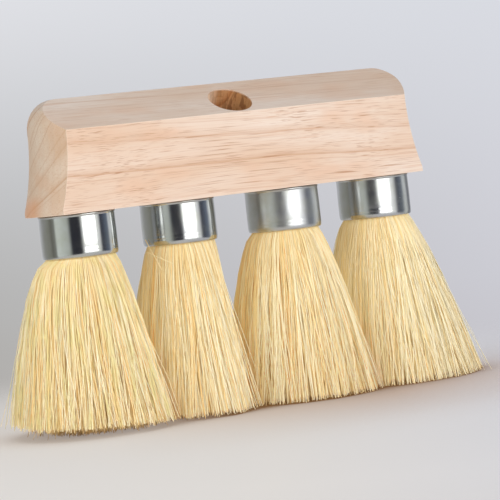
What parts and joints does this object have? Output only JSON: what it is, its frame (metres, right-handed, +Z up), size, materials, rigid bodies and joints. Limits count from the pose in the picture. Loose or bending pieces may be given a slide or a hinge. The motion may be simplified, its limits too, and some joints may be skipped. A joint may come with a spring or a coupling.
{
  "type": "roof brush",
  "caption": "Roof brush head: a hardwood block with a bevelled, socketed front carries a zig-zag row of natural-fibre knots in plated steel ferrules.",
  "frame": {"origin": "on the floor under the middle of the brush, at the level of the trimmed fibre tips", "axes": "+X along the block, +Z up from the fibre tips to the block, and the bevelled front with the handle socket faces -Y"},
  "size_m": [0.3278, 0.1032, 0.2061],
  "materials": {
    "hardwood": "planed and sanded pale hardwood, left bare",
    "plated_steel": "bright plated sheet steel, drawn",
    "screw_steel": "plain zinc-plated wood screw",
    "set_resin": "dark set resin round the fibre butts",
    "tampico_fibre": "undyed straw-coloured plant fibre"
  },
  "bodies": {
    "root": {"block": "hardwood", "ferrule_1": "plated_steel", "ferrule_screw_1": "screw_steel", "setting_1": "set_resin", "fibre_knot_1": "tampico_fibre", "ferrule_2": "plated_steel", "ferrule_screw_2": "screw_steel", "setting_2": "set_resin", "fibre_knot_2": "tampico_fibre", "ferrule_3": "plated_steel", "ferrule_screw_3": "screw_steel", "setting_3": "set_resin", "fibre_knot_3": "tampico_fibre", "ferrule_4": "plated_steel", "ferrule_screw_4": "screw_steel", "setting_4": "set_resin", "fibre_knot_4": "tampico_fibre"}
  },
  "joints": []
}
